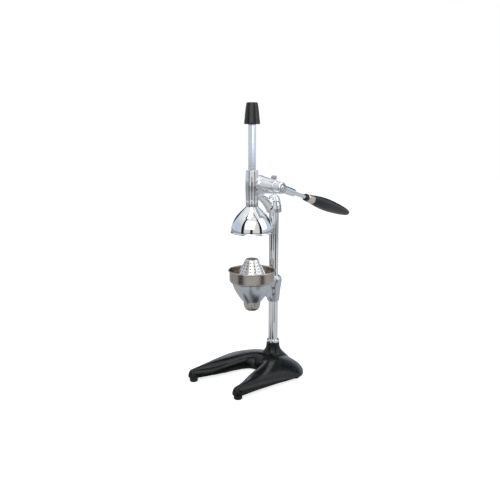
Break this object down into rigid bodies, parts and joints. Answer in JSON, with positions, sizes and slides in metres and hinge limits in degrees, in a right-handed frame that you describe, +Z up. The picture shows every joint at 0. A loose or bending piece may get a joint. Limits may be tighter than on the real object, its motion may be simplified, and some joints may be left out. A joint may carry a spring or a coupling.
{
  "type": "lever citrus press",
  "caption": "Free-standing citrus press: horseshoe base, chrome column, geared side lever driving a square rack with a bell over a funnel and perforated reamer.",
  "frame": {"origin": "on the table, midway between the sides of the base and midway between the front of the base and the tip of the grip; the column's axis is 3.4 mm in front of it", "axes": "+Z up along the column, -Y towards the front feet and the cup, +X towards the lever's side"},
  "size_m": [0.236, 0.4706, 0.6866],
  "materials": {
    "black_enamel": "thick glossy black enamel over a sand-cast surface",
    "black_rubber": "matt",
    "chrome": "mirror-bright plating",
    "plated_rack": "satin plating",
    "satin_cast": "satin, bluish grey",
    "stainless": "finely brushed, slightly warm",
    "dark_steel": "oiled steel",
    "bronze": "machined",
    "nickel": "polished, warm",
    "black_plastic": "half gloss"
  },
  "bodies": {
    "stand": {"base_casting": "black_enamel", "front_left_foot": "black_rubber", "front_right_foot": "black_rubber", "rear_left_foot": "black_rubber", "rear_right_foot": "black_rubber", "column_collar": "chrome", "column_tube": "chrome", "tie_rod": "dark_steel", "tie_rod_washer": "dark_steel", "tie_rod_nut": "dark_steel", "head_casting": "chrome", "head_set_screw": "dark_steel", "gear_cover": "chrome", "cover_screw_1": "nickel", "cover_screw_2": "nickel", "cover_screw_3": "nickel", "barrel_bush": "bronze", "cover_bush": "bronze", "cup_holder": "satin_cast", "holder_screw_1": "dark_steel", "holder_screw_2": "dark_steel"},
    "lever": {"pinion_shaft": "dark_steel", "pinion_key": "dark_steel", "pinion_gear": "dark_steel", "pinion_spacer": "dark_steel", "lever_hub": "chrome", "lever_set_screw": "dark_steel", "shaft_end_washer": "chrome", "shaft_end_screw": "chrome", "lever_rod": "chrome", "grip_collar": "black_plastic", "grip_ferrule": "nickel", "lever_grip": "black_plastic"},
    "ram": {"rack_bar": "plated_rack", "rack_cap": "black_plastic", "press_bell": "chrome", "bell_screw": "dark_steel"},
    "funnel": {"juice_funnel": "stainless"},
    "reamer": {"reamer_strainer": "stainless"}
  },
  "joints": [
    {"name": "lever_turn", "type": "hinge", "parent": "stand", "child": "lever", "pos_m": [0, -0.06305, 0.4858], "axis": [1, 0, 0], "range_deg": [0, 257.8]},
    {"name": "ram_slide", "type": "slide", "parent": "stand", "child": "ram", "axis": [0, 0, -1], "range_m": [0, 0.09]},
    {"name": "funnel_lift", "type": "slide", "parent": "stand", "child": "funnel", "axis": [0, 0, 1], "range_m": [0, 0.012]},
    {"name": "reamer_lift", "type": "slide", "parent": "funnel", "child": "reamer", "axis": [0, 0, 1], "range_m": [0, 0.006]}
  ],
  "couplings": [
    {"joint": "ram_slide", "follows": "lever_turn", "m_per_rad": 0.02}
  ]
}
